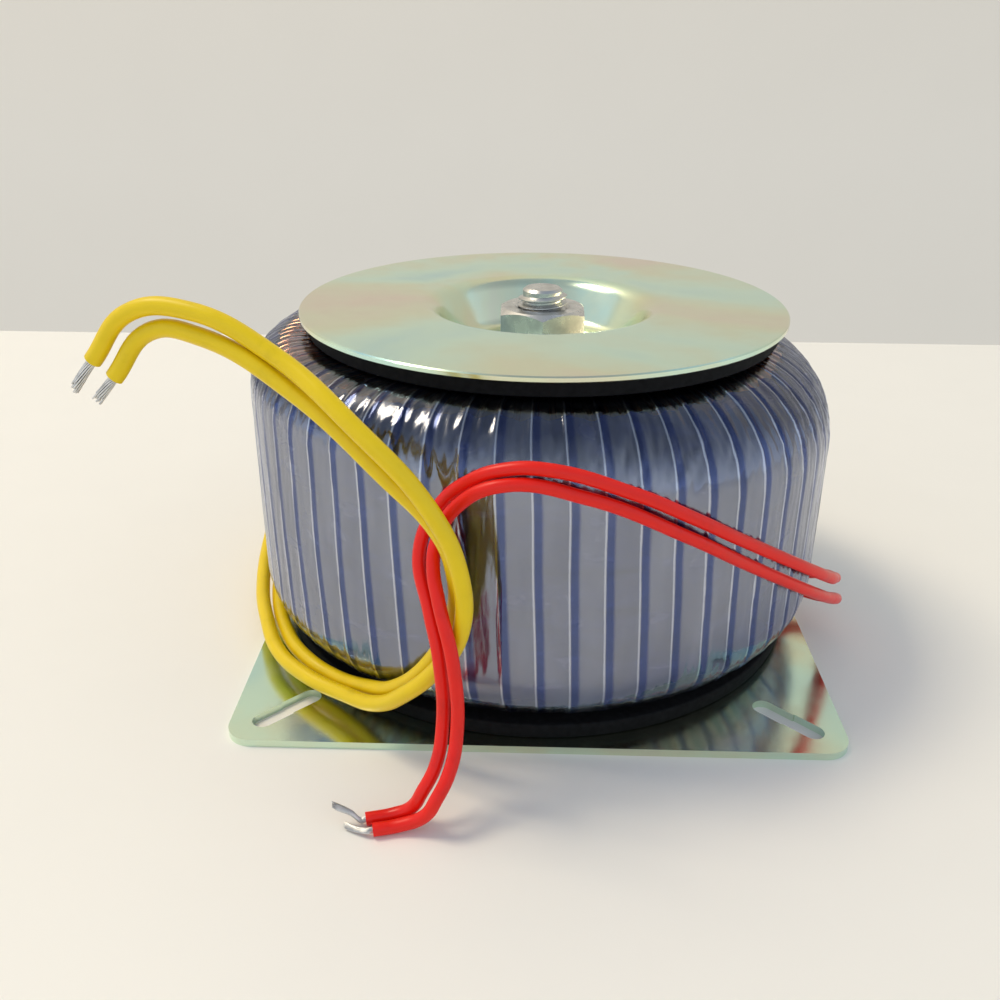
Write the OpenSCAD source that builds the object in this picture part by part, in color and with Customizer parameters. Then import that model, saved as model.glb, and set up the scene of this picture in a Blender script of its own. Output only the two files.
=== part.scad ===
/* [Wound body] */
// Outer radius of the finished toroid
body_r = 60.2; // [57:0.1:66]
// Radius of the hole through the finished toroid
hole_r = 20.4; // [20.4:0.2:23]
// Height of the finished toroid
body_h = 60.9; // [50:0.1:74]
// Mean radius of the rounded top shoulder
shoulder_r = 15; // [13:0.5:16]
// How much squarer the shoulder is on the side of the heavy leads
lead_swell = 5; // [0:0.5:5]
// Radius of the rounded bottom edge
foot_r = 12; // [10:0.5:14]
// Radius of the edges round the hole
throat_r = 5; // [4:0.5:6]

/* [Winding] */
// Turns in the outer winding
turns = 104; // [80:1:104]
// Diameter of the enamelled wire of the outer winding
wire_d = 1.3; // [1:0.05:1.3]
// Thickness of the tape between the windings
tape_t = 0.5; // [0.3:0.1:0.8]
// Thickness of the inner winding on the outside of the core
primary_t = 6; // [5:0.5:7]
// Thickness of the inner winding in the hole, where its turns lie closer
primary_bore_t = 8; // [7:0.5:9]
// Thickness of the insulation round the core
core_tape_t = 0.8; // [0.5:0.1:1.2]

/* [Film] */
// Strips in one round of the outer film
strips = 60; // [56:1:66]
// Thickness of the outer film at a strip's thin side
film_t = 0.3; // [0.2:0.05:0.4]
// How far each strip's edge stands up over its neighbour
lap_t = 0.15; // [0.1:0.05:0.2]
// Thickness of the blue band under the film
band_t = 0.25; // [0.15:0.05:0.35]
// Height of the blue band's lower edge above the toroid's foot
band_low = 13; // [13:0.5:25]
// Sixths of the shoulder that the blue band turns over
band_steps = 5; // [2:1:5]

/* [Base plate] */
// Side of the square base plate
plate_w = 116; // [112:1:140]
// Thickness of the base plate
plate_t = 1.5; // [1.2:0.1:2]
// Corner radius of the base plate
plate_corner_r = 5; // [3:0.5:8]
// Distance between the slot centres along each side
slot_spacing = 96; // [92:0.5:98]
// Length of each mounting slot
slot_l = 15; // [10:0.5:16]
// Width of each mounting slot
slot_w = 4.2; // [3:0.1:5]
// Sideways step between the two strokes that punch one slot
slot_step = 0.25; // [0.1:0.05:0.4]
// Height of the pressed seat over the bolt head
seat_h = 7; // [6.8:0.1:8]
// Diameter of the flat top of the pressed seat
seat_d = 28; // [26:0.5:30]
// Diameter of the pressed seat's foot
seat_foot_d = 50; // [48:0.5:51]

/* [Clamp] */
// Diameter of the top washer
washer_d = 99.2; // [97:0.2:110]
// Thickness of the top washer
washer_t = 1.2; // [1:0.1:1.6]
// Diameter of the mouth of the washer's dish
dish_d = 50; // [48:0.5:51]
// Depth of the washer's dish
dish_depth = 9.2; // [8:0.1:10]
// Diameter of the dish's flat floor
dish_floor_d = 30; // [28:0.5:31]
// Radius of the bends in the washer and in the seat
bend_r = 4; // [3:0.5:4.5]
// Diameter of the clamp bolt
bolt_d = 10; // [8:0.5:10]
// Length of bolt that stands above the nut
bolt_tip = 3.8; // [2:0.1:8]
// Size across the flats of the nut and of the bolt head
nut_af = 17; // [16:0.5:18]
// Height of the nut
nut_h = 8.4; // [6:0.1:10]
// Height of the bolt head
head_h = 6.4; // [5:0.1:6.6]

/* [Rubber pads] */
// Thickness of each rubber pad
pad_t = 3; // [2:0.1:4]
// Diameter of the lower rubber pad
lower_pad_d = 111; // [104:1:112]
// Diameter of the upper rubber pad
upper_pad_d = 96; // [94:1:97]
// Diameter of the hole in each rubber pad
pad_hole_d = 52; // [51:0.5:56]

/* [Leads] */
// Diameter of each yellow lead
yellow_d = 3; // [2.6:0.1:3]
// Diameter of the stranded copper in each yellow lead
yellow_core_d = 1.6; // [1.2:0.1:1.8]
// Diameter of each red lead
red_d = 2.3; // [2:0.1:2.3]
// Diameter of the stranded copper in each red lead
red_core_d = 1.1; // [0.8:0.1:1.3]

/* [Hidden] */

// Gap between layers that are wound or laid on each other
layer_gap = 0.05;
// Gap between the round wires and the flat facets of the film over them
film_gap = 0.3;
// Gap round the bolt in the holes of the plate and the washer
bolt_gap = 0.5;
// Gap between the plain bolt and the plain bore of the nut
thread_gap = 0.1;
// Gap between a lead and the edge of its hole in the film
lead_gap = 0.25;
// Radius of the folds of the core's insulation
fold_r = 1.5;
// Chamfers of the nut, the bolt head and the bolt's end
edge_cut = 1;
// Width of the hex chamfer, in degrees
hex_chamfer = 30;

// Sides of round pieces
round_fn = 96;
// Sides of the thin round wires
wire_fn = 24;
// Sides of each lead
lead_sides = 8;
// Steps in a quarter turn of the shoulder, the throat's edges and the foot
shoulder_steps = 6;
throat_steps = 3;
foot_steps = 4;
// Steps in a bend of the pressed steel
bend_steps = 8;

// Heights of the stack, from the underside of the plate up
pad_z = plate_t;
body_z = pad_z + pad_t;
body_top_z = body_z + body_h;
washer_z = body_top_z + pad_t;
floor_z = washer_z + washer_t - dish_depth;
bolt_top_z = floor_z + nut_h + bolt_tip;

// Depths of the layers under the surface of the toroid
band_depth = film_t + lap_t + layer_gap;
wire_depth = band_depth + band_t + film_gap;
tape_depth = wire_depth + wire_d + layer_gap;
primary_depth = tape_depth + tape_t + layer_gap;
core_tape_depth = primary_depth + primary_t + layer_gap;
core_tape_bore_depth = primary_depth + primary_bore_t + layer_gap;
core_depth = core_tape_depth + core_tape_t + layer_gap;
core_bore_depth = core_tape_bore_depth + core_tape_t + layer_gap;

// Routes of the leads, each from its hole in the film to the end of its sleeve, and where
// the bare strands go from there
yellow_1_route = [
    [-54, 25.5, 14], [-58, 25.5, 14], [-61.5, 23, 13.5], [-63.5, 17, 12],
    [-63.5, 9, 10.5], [-61, -11, 7.5], [-57, -24.5, 7], [-52, -35.5, 6], [-45, -43.5, 6],
    [-36.5, -50.5, 7], [-29, -57.5, 10], [-23, -62.5, 16], [-17, -65.5, 23.5],
    [-13, -68, 32], [-13, -69, 43.5], [-17.5, -69, 54.5], [-28.5, -66.5, 66.5],
    [-42.5, -58, 75.5], [-55.5, -54.5, 81], [-66, -52.5, 80], [-73, -52, 72]
];
yellow_1_tip = [[-77, -52, 67]];
yellow_2_route = [
    [-41.5, 42, 12], [-46, 43.5, 12], [-50.5, 41.5, 11.5], [-54, 36, 10.5],
    [-57.5, 27, 8.5], [-59.5, 11, 7], [-57.5, -11, 6.5], [-51.5, -29, 6],
    [-46, -37.5, 6], [-39.5, -43.5, 6], [-32.5, -49.5, 8], [-25.5, -56.5, 13],
    [-18, -61.5, 23], [-14, -65, 34.5], [-14, -65.5, 41.5], [-16, -65.5, 48], [-25, -65, 58.5],
    [-39.5, -59.5, 70], [-54.5, -54.5, 77], [-63, -52.5, 77], [-69.5, -53, 69.5]
];
yellow_2_tip = [[-73, -53, 65.5]];
red_1_route = [
    [57.5, -2, 9], [61.5, -2.5, 8.5], [64.5, -4.5, 9.5], [65.5, -8.5, 11],
    [62, -19, 16.5], [55, -35.5, 26], [35, -51, 41], [24, -57, 48.5],
    [15, -60, 53.5], [-0.5, -63, 59], [-6.5, -62.5, 58.5], [-11, -61.5, 56.5], [-17, -59.5, 50.5],
    [-20, -61.5, 43.5], [-18, -67, 35], [-16.5, -69.5, 28.5], [-16, -71.5, 15],
    [-17, -74.5, 10], [-19, -76.5, 6.5], [-21, -76.5, 3], [-24, -76.5, 1.5], [-28.5, -77.5, 1.2]
];
red_1_tip = [[-31, -77.5, 2.5], [-34, -77.5, 4]];
red_2_route = [
    [55.5, -7, 7.5], [59.5, -7.5, 6.5], [63, -9.5, 6.5], [64.5, -12.5, 8],
    [54.5, -35, 21.5], [35.5, -50.5, 36.5], [24.5, -57, 44.5], [6.5, -62.5, 54],
    [-6.5, -64, 56.5], [-13.5, -63, 52.5], [-17, -62.5, 46], [-17.5, -65, 42.5],
    [-16.5, -68, 38], [-14, -71.5, 28], [-13.5, -73.5, 15], [-14.5, -76.5, 10.5],
    [-16.5, -79, 7], [-18.5, -79, 3.5], [-22.5, -79, 1.5], [-27, -80, 1.2]
];
red_2_tip = [[-30, -79.5, 0.8], [-32, -78.5, 0.8]];

// A quarter arc of a section, as points from one angle to 90 degrees on
function quarter(centre, radius, from_angle, steps) = [
    for (i = [0:steps]) let (a = from_angle + 90 * i / steps)
        centre + radius * [cos(a), sin(a)]
];
// The outline of a ring's section: outer top, inner top, inner bottom and outer bottom corners
function ring_section(r_in, r_out, z_low, z_high, top_r, bore_r, low_r) = concat(
    quarter([r_out - top_r, z_high - top_r], top_r, 0, shoulder_steps),
    quarter([r_in + bore_r, z_high - bore_r], bore_r, 90, throat_steps),
    quarter([r_in + bore_r, z_low + bore_r], bore_r, 180, throat_steps),
    quarter([r_out - low_r, z_low + low_r], low_r, 270, foot_steps)
);
// The shoulder is squarest on the left, the side of the heavy leads
function shoulder_at(angle) = shoulder_r + lead_swell * cos(angle);
// The outline of the wound body at a depth under its surface
function body_section(depth, shoulder) = ring_section(
    hole_r + depth, body_r - depth, body_z + depth, body_top_z - depth,
    shoulder - depth, throat_r - depth, foot_r - depth
);
// Inner layers are the same all round, so they fit under the roundest shoulder
function layer_section(depth) = body_section(depth, shoulder_r + lead_swell);
// A flat outline stood up in the plane through the axis at an angle
function stand(outline, angle) = [
    for (p = outline) [p[0] * cos(angle), p[0] * sin(angle), p[1]]
];
// Faces between closed rings of points, with the last ring joined to the first
function loop_faces(rings, sides) = [
    for (i = [0:rings - 1], j = [0:sides - 1])
        let (k = (i + 1) % rings, m = (j + 1) % sides)
            [i * sides + j, i * sides + m, k * sides + m, k * sides + j]
];
function flatten(lists) = [for (list = lists, item = list) item];

// The film's surface: each strip starts on top of the one before and ends under the next
function film_columns() = flatten([
    for (i = [0:strips - 1]) let (a = 360 * i / strips) [
        stand(body_section(lap_t, shoulder_at(a)), a),
        stand(body_section(0, shoulder_at(a)), a)
    ]
]);
function under_film_columns(depth) = [
    for (i = [0:strips - 1]) let (a = 360 * i / strips)
        stand(body_section(depth, shoulder_at(a)), a)
];
// One side of the blue band's section: up the wall and over the shoulder
function band_side(depth, shoulder) = concat(
    [[body_r - depth, body_z + band_low]],
    [for (i = [0:band_steps]) let (a = 90 * i / shoulder_steps)
        [body_r - shoulder, body_top_z - shoulder] + (shoulder - depth) * [cos(a), sin(a)]]
);
function reversed(list) = [for (i = [len(list) - 1:-1:0]) list[i]];
function band_columns() = [
    for (i = [0:strips - 1]) let (a = 360 * i / strips, shoulder = shoulder_at(a))
        stand(concat(
            band_side(band_depth, shoulder),
            reversed(band_side(band_depth + band_t, shoulder))
        ), a)
];

// A double bend in sheet steel between two levels; lift is the height over the sheet's middle
function double_bend(from, to, lift) = let (
    side = sign(to[0] - from[0]),
    rise = sign(to[1] - from[1]),
    run = abs(to[0] - from[0]),
    drop = abs(to[1] - from[1]) - 2 * bend_r,
    turn = atan2(drop, run) + asin(2 * bend_r / norm([run, drop])),
    start_centre = from + [0, rise * bend_r],
    end_centre = to - [0, rise * bend_r],
    start_r = bend_r - rise * lift,
    end_r = bend_r + rise * lift
) concat(
    [for (i = [0:bend_steps]) let (a = turn * i / bend_steps)
        start_centre + start_r * [side * sin(a), -rise * cos(a)]],
    [for (i = [bend_steps:-1:0]) let (a = turn * i / bend_steps)
        end_centre + end_r * [-side * sin(a), rise * cos(a)]]
);
// The section of a pressed sheet from its rim to its centre hole
function pressed_section(rim, bend_from, bend_to, hole, sheet_t) = concat(
    [[rim, bend_from[1] + sheet_t / 2]],
    double_bend(bend_from, bend_to, sheet_t / 2),
    [[hole, bend_to[1] + sheet_t / 2], [hole, bend_to[1] - sheet_t / 2]],
    reversed(double_bend(bend_from, bend_to, -sheet_t / 2)),
    [[rim, bend_from[1] - sheet_t / 2]]
);

// Sweep along a route: a direction and two cross directions at each point
function unit(v) = v / norm(v);
function direction(route, i) = unit(
    (i == 0 ? [0, 0, 0] : unit(route[i] - route[i - 1]))
    + (i == len(route) - 1 ? [0, 0, 0] : unit(route[i + 1] - route[i]))
);
function carried(side, along) = unit(side - (side * along) * along);
function sides(route, i, side) = i == len(route) ? []
    : let (next = carried(side, direction(route, i))) concat([next], sides(route, i + 1, next));
function ring(centre, along, side, radius) = [
    for (j = [0:lead_sides - 1]) let (a = 360 * (j + 0.5) / lead_sides)
        centre + radius * (cos(a) * side + sin(a) * cross(along, side))
];
function sweep_points(route, radius) = let (side_list = sides(route, 0, [0, 0, 1])) flatten([
    for (i = [0:len(route) - 1]) ring(route[i], direction(route, i), side_list[i], radius)
]);
function sweep_faces(rings) = concat(
    [[for (j = [0:lead_sides - 1]) j]],
    [for (i = [0:rings - 2], j = [0:lead_sides - 1])
        let (m = (j + 1) % lead_sides, low = i * lead_sides, high = low + lead_sides)
            [low + m, low + j, high + j, high + m]],
    [[for (j = [lead_sides - 1:-1:0]) (rings - 1) * lead_sides + j]]
);

// The bare strands leave the sleeve straight, face to face with its end
function bare_route(route, tip) = let (last = route[len(route) - 1])
    concat([last, last + unit(last - route[len(route) - 2])], tip);

module swept(route, diameter) {
    polyhedron(
        points = sweep_points(route, diameter / 2),
        faces = sweep_faces(len(route)),
        convexity = 10
    );
}

// A round hole along the start of a lead, through whatever lies outside the wires
module lead_hole(route, diameter) {
    along = unit(route[1] - route[0]);
    translate(route[0] - 2 * along)
        rotate([0, acos(along[2]), atan2(along[1], along[0])])
            cylinder(d = diameter + 2 * lead_gap, h = 4 + diameter, $fn = round_fn);
}

module pad(diameter) {
    difference() {
        cylinder(d = diameter, h = pad_t, $fn = round_fn);
        translate([0, 0, -1])
            cylinder(d = pad_hole_d, h = pad_t + 2, $fn = round_fn);
    }
}

// A layer between two depths, round as a solid of revolution
module layer(outside, inside) {
    rotate_extrude($fn = round_fn)
        difference() {
            polygon(outside);
            polygon(inside);
        }
}

// A hexagon with both faces chamfered
module hexagon(height) {
    across_corners = nut_af / cos(30);
    chamfer = edge_cut * tan(hex_chamfer);
    intersection() {
        cylinder(d = across_corners, h = height, $fn = 6);
        rotate_extrude($fn = round_fn)
            polygon([
                [0, 0], [across_corners / 2 - edge_cut, 0], [across_corners / 2, chamfer],
                [across_corners / 2, height - chamfer], [across_corners / 2 - edge_cut, height],
                [0, height]
            ]);
    }
}

module slot() {
    slot_run = (slot_l - slot_w) / 2;
    for (side = [-1, 1])
        translate([0, side * slot_step / 2]) {
            translate([side * slot_run / 2, 0])
                square([slot_run, slot_w], center = true);
            translate([side * slot_run, 0])
                circle(d = slot_w, $fn = round_fn);
        }
}

module plate_outline() {
    inset = plate_w - 2 * plate_corner_r;
    square([plate_w, inset], center = true);
    square([inset, plate_w], center = true);
    for (x = [-1, 1], y = [-1, 1])
        translate([x, y] * inset / 2)
            circle(r = plate_corner_r, $fn = round_fn);
}

module base_plate() {
    color("darkseagreen") {
        linear_extrude(plate_t)
            difference() {
                plate_outline();
                circle(d = seat_foot_d, $fn = round_fn);
                for (x = [-1, 1], y = [-1, 1])
                    translate([x, y] * slot_spacing / 2)
                        rotate(45 * x * y)
                            slot();
            }
        rotate_extrude($fn = round_fn)
            polygon(pressed_section(
                seat_foot_d / 2, [seat_foot_d / 2, plate_t / 2],
                [seat_d / 2, seat_h + plate_t / 2], (bolt_d + bolt_gap) / 2, plate_t
            ));
    }
}

module lower_rubber_pad() {
    color("dimgray")
        translate([0, 0, pad_z])
            pad(lower_pad_d);
}

module steel_core() {
    color("slategray")
        translate([0, 0, body_z + core_depth])
            difference() {
                core_h = body_h - 2 * core_depth;
                cylinder(r = body_r - core_depth, h = core_h, $fn = round_fn);
                translate([0, 0, -1])
                    cylinder(r = hole_r + core_bore_depth, h = core_h + 2, $fn = round_fn);
            }
}

// The outline of the insulated core, grown by a gap
function insulated_core(grow) = ring_section(
    hole_r + core_tape_bore_depth - grow, body_r - core_tape_depth + grow,
    body_z + core_tape_depth - grow, body_top_z - core_tape_depth + grow,
    fold_r + grow, fold_r + grow, fold_r + grow
);

module core_insulation() {
    z_low = body_z + core_depth - layer_gap;
    z_high = body_top_z - core_depth + layer_gap;
    r_in = hole_r + core_bore_depth - layer_gap;
    r_out = body_r - core_depth + layer_gap;
    color("wheat")
        layer(insulated_core(0), [[r_in, z_low], [r_out, z_low], [r_out, z_high], [r_in, z_high]]);
}

module primary_winding() {
    color("sienna")
        layer(layer_section(primary_depth), insulated_core(layer_gap));
}

module winding_insulation() {
    color("khaki")
        layer(layer_section(tape_depth), layer_section(tape_depth + tape_t));
}

// A quarter turn of wire about a corner of the section
module wire_bend(centre, bend, from_angle) {
    translate([centre[0], 0, centre[1]])
        rotate([90, -from_angle, 0])
            rotate_extrude(angle = 90, $fn = wire_fn)
                translate([bend, 0])
                    circle(d = wire_d, $fn = wire_fn);
}

module wire_run(from, to) {
    run = to - from;
    translate([from[0], 0, from[1]])
        rotate([0, atan2(run[0], run[1]), 0])
            cylinder(d = wire_d, h = norm(run), $fn = wire_fn);
}

// One turn round the section, with its shoulder as round as the body's at that angle
module turn(shoulder) {
    depth = wire_depth + wire_d / 2;
    r_in = hole_r + depth;
    r_out = body_r - depth;
    z_low = body_z + depth;
    z_high = body_top_z - depth;
    top = shoulder - depth;
    bore = throat_r - depth;
    low = foot_r - depth;
    wire_bend([r_out - top, z_high - top], top, 0);
    wire_bend([r_in + bore, z_high - bore], bore, 90);
    wire_bend([r_in + bore, z_low + bore], bore, 180);
    wire_bend([r_out - low, z_low + low], low, 270);
    wire_run([r_out, z_low + low], [r_out, z_high - top]);
    wire_run([r_out - top, z_high], [r_in + bore, z_high]);
    wire_run([r_in, z_high - bore], [r_in, z_low + bore]);
    wire_run([r_in + bore, z_low], [r_out - low, z_low]);
}

module secondary_winding() {
    color("chocolate")
        for (i = [0:turns - 1]) {
            angle = 360 * (i + 0.5) / turns;
            rotate(angle)
                turn(shoulder_at(angle));
        }
}

module blue_film_band() {
    columns = band_columns();
    color("royalblue")
        polyhedron(flatten(columns), loop_faces(strips, len(columns[0])), convexity = 10);
}

module outer_film_wrap() {
    outside = film_columns();
    inside = under_film_columns(film_t + lap_t);
    color("lightsteelblue")
        difference() {
            polyhedron(flatten(outside), loop_faces(2 * strips, len(outside[0])), convexity = 10);
            polyhedron(flatten(inside), loop_faces(strips, len(inside[0])), convexity = 10);
            lead_hole(yellow_1_route, yellow_d);
            lead_hole(yellow_2_route, yellow_d);
            lead_hole(red_1_route, red_d);
            lead_hole(red_2_route, red_d);
        }
}

module upper_rubber_pad() {
    color("dimgray")
        translate([0, 0, body_top_z])
            pad(upper_pad_d);
}

module dished_washer() {
    top = washer_z + washer_t / 2;
    color("darkseagreen")
        rotate_extrude($fn = round_fn)
            polygon(pressed_section(
                washer_d / 2, [dish_d / 2, top],
                [dish_floor_d / 2, top - dish_depth], (bolt_d + bolt_gap) / 2, washer_t
            ));
}

module clamp_bolt() {
    color("silver") {
        translate([0, 0, seat_h - head_h])
            hexagon(head_h);
        translate([0, 0, seat_h])
            cylinder(d = bolt_d, h = bolt_top_z - seat_h - edge_cut, $fn = round_fn);
        translate([0, 0, bolt_top_z - edge_cut])
            cylinder(d1 = bolt_d, d2 = bolt_d - 2 * edge_cut, h = edge_cut, $fn = round_fn);
    }
}

module clamp_nut() {
    color("silver")
        translate([0, 0, floor_z])
            difference() {
                hexagon(nut_h);
                translate([0, 0, -1])
                    cylinder(d = bolt_d + 2 * thread_gap, h = nut_h + 2, $fn = round_fn);
            }
}

module yellow_lead_1() {
    color("gold")
        swept(yellow_1_route, yellow_d);
}

module yellow_lead_1_tinned_end() {
    color("lightgray")
        swept(bare_route(yellow_1_route, yellow_1_tip), yellow_core_d);
}

module yellow_lead_2() {
    color("gold")
        swept(yellow_2_route, yellow_d);
}

module yellow_lead_2_tinned_end() {
    color("lightgray")
        swept(bare_route(yellow_2_route, yellow_2_tip), yellow_core_d);
}

module red_lead_1() {
    color("red")
        swept(red_1_route, red_d);
}

module red_lead_1_tinned_end() {
    color("lightgray")
        swept(bare_route(red_1_route, red_1_tip), red_core_d);
}

module red_lead_2() {
    color("red")
        swept(red_2_route, red_d);
}

module red_lead_2_tinned_end() {
    color("lightgray")
        swept(bare_route(red_2_route, red_2_tip), red_core_d);
}

base_plate();
lower_rubber_pad();
steel_core();
core_insulation();
primary_winding();
winding_insulation();
secondary_winding();
blue_film_band();
outer_film_wrap();
upper_rubber_pad();
dished_washer();
clamp_bolt();
clamp_nut();
yellow_lead_1();
yellow_lead_1_tinned_end();
yellow_lead_2();
yellow_lead_2_tinned_end();
red_lead_1();
red_lead_1_tinned_end();
red_lead_2();
red_lead_2_tinned_end();
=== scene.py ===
"""The looks of a toroidal transformer, built round its fixed CAD frame."""

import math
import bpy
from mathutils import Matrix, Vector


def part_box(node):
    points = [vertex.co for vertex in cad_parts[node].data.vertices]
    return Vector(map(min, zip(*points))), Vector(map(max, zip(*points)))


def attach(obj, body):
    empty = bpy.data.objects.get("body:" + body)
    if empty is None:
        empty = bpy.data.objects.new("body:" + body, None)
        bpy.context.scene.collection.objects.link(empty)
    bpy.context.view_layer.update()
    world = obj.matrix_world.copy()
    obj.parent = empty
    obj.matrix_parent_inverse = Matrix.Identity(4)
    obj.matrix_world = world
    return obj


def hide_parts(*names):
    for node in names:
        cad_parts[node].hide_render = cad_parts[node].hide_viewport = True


bl_info = {
    "name": "Toroidal Transformer",
    "version": (1, 0, 0),
    "blender": (4, 5, 0),
    "location": "View3D > Sidebar > Transformer",
    "description": "Film, winding, clamp parts, leads and stage of a toroidal transformer",
    "category": "Add Mesh",
}

import bpy
import numpy as np
from bpy.props import FloatProperty, FloatVectorProperty, IntProperty, PointerProperty
from mathutils import Matrix, Vector

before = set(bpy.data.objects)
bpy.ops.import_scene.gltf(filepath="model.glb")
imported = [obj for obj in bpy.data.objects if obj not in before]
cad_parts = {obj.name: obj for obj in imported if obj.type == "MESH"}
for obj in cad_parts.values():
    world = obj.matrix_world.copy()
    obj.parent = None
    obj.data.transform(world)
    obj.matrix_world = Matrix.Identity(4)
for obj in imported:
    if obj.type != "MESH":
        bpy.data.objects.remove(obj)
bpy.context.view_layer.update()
MM = 0.001
TURN = 2 * math.pi

# The leads' routes from the hole in the film to the end of the sleeve, in millimetres
ROUTES = {
    "yellow_lead_1": [
        (-54, 25.5, 14), (-58, 25.5, 14), (-61.5, 23, 13.5), (-63.5, 17, 12),
        (-63.5, 9, 10.5), (-61, -11, 7.5), (-57, -24.5, 7), (-52, -35.5, 6), (-45, -43.5, 6),
        (-36.5, -50.5, 7), (-29, -57.5, 10), (-23, -62.5, 16), (-17, -65.5, 23.5),
        (-13, -68, 32), (-13, -69, 43.5), (-17.5, -69, 54.5), (-28.5, -66.5, 66.5),
        (-42.5, -58, 75.5), (-55.5, -54.5, 81), (-66, -52.5, 80), (-73, -52, 72),
    ],
    "yellow_lead_2": [
        (-41.5, 42, 12), (-46, 43.5, 12), (-50.5, 41.5, 11.5), (-54, 36, 10.5),
        (-57.5, 27, 8.5), (-59.5, 11, 7), (-57.5, -11, 6.5), (-51.5, -29, 6),
        (-46, -37.5, 6), (-39.5, -43.5, 6), (-32.5, -49.5, 8), (-25.5, -56.5, 13),
        (-18, -61.5, 23), (-14, -65, 34.5), (-14, -65.5, 41.5), (-16, -65.5, 48),
        (-25, -65, 58.5), (-39.5, -59.5, 70), (-54.5, -54.5, 77), (-63, -52.5, 77),
        (-69.5, -53, 69.5),
    ],
    "red_lead_1": [
        (57.5, -2, 9), (61.5, -2.5, 8.5), (64.5, -4.5, 9.5), (65.5, -8.5, 11),
        (62, -19, 16.5), (55, -35.5, 26), (35, -51, 41), (24, -57, 48.5),
        (15, -60, 53.5), (-0.5, -63, 59), (-6.5, -62.5, 58.5), (-11, -61.5, 56.5),
        (-17, -59.5, 50.5), (-20, -61.5, 43.5), (-18, -67, 35), (-16.5, -69.5, 28.5),
        (-16, -71.5, 15), (-17, -74.5, 10), (-19, -76.5, 6.5), (-21, -76.5, 3),
        (-24, -76.5, 1.5), (-28.5, -77.5, 1.2),
    ],
    "red_lead_2": [
        (55.5, -7, 7.5), (59.5, -7.5, 6.5), (63, -9.5, 6.5), (64.5, -12.5, 8),
        (54.5, -35, 21.5), (35.5, -50.5, 36.5), (24.5, -57, 44.5), (6.5, -62.5, 54),
        (-6.5, -64, 56.5), (-13.5, -63, 52.5), (-17, -62.5, 46), (-17.5, -65, 42.5),
        (-16.5, -68, 38), (-14, -71.5, 28), (-13.5, -73.5, 15), (-14.5, -76.5, 10.5),
        (-16.5, -79, 7), (-18.5, -79, 3.5), (-22.5, -79, 1.5), (-27, -80, 1.2),
    ],
}
# Where the bare strands go from the end of each sleeve, in millimetres
TIPS = {
    "yellow_lead_1": [(-77, -52, 67)],
    "yellow_lead_2": [(-73, -53, 65.5)],
    "red_lead_1": [(-31, -77.5, 2.5), (-34, -77.5, 4)],
    "red_lead_2": [(-30, -79.5, 0.8), (-32, -78.5, 0.8)],
}
# Power of the key lamp in watts, and strength of the light from all round
KEY_POWER = 34.0
SKY_STRENGTH = 1.03


class TransformerSizes(bpy.types.PropertyGroup):
    """Sizes of the wound body, the clamp and the leads"""

    hole_radius: FloatProperty(
        name="Hole radius", description="Radius of the hole through the toroid",
        default=20.4 * MM, unit="LENGTH")
    shoulder_radius: FloatProperty(
        name="Shoulder", description="Mean radius of the rounded top shoulder",
        default=15 * MM, unit="LENGTH")
    lead_swell: FloatProperty(
        name="Swell", description="How much squarer the shoulder is beside the heavy leads",
        default=5 * MM, unit="LENGTH")
    foot_radius: FloatProperty(
        name="Foot", description="Radius of the rounded bottom edge", default=12 * MM,
        unit="LENGTH")
    throat_radius: FloatProperty(
        name="Throat", description="Radius of the edges round the hole", default=5 * MM,
        unit="LENGTH")
    strips: IntProperty(name="Strips", description="Film strips in one round", default=60)
    lap: FloatProperty(
        name="Lap", description="How far a strip's edge stands over the next strip",
        default=0.15 * MM, unit="LENGTH")
    turns: IntProperty(name="Turns", description="Turns of the outer winding", default=104)
    band_foot: FloatProperty(
        name="Band foot", description="How far the band turns under the rounded bottom edge",
        default=math.radians(34), subtype="ANGLE")
    band_turn: FloatProperty(
        name="Band turn", description="How far the band turns over the shoulder",
        default=math.radians(63), subtype="ANGLE")
    bend_radius: FloatProperty(
        name="Bend", description="Radius of the bends of the washer", default=4 * MM,
        unit="LENGTH")
    dish_radius: FloatProperty(
        name="Dish", description="Radius of the mouth of the washer's dish", default=25 * MM,
        unit="LENGTH")
    floor_radius: FloatProperty(
        name="Dish floor", description="Radius of the flat floor of the dish",
        default=15 * MM, unit="LENGTH")
    thread_pitch: FloatProperty(
        name="Pitch", description="Pitch of the bolt's thread", default=1.5 * MM,
        unit="LENGTH")
    yellow_lead: FloatProperty(
        name="Yellow lead", description="Diameter of a yellow lead", default=3 * MM,
        unit="LENGTH")
    yellow_strands: FloatProperty(
        name="Yellow strands", description="Diameter of a yellow lead's bare strands",
        default=1.6 * MM, unit="LENGTH")
    red_lead: FloatProperty(
        name="Red lead", description="Diameter of a red lead", default=2.3 * MM,
        unit="LENGTH")
    red_strands: FloatProperty(
        name="Red strands", description="Diameter of a red lead's bare strands",
        default=1.1 * MM, unit="LENGTH")


def colour_property(name, description, value):
    """A colour that a user can change in the sidebar."""
    return FloatVectorProperty(
        name=name, description=description, default=value, subtype="COLOR",
        size=3, min=0, max=1)


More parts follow.
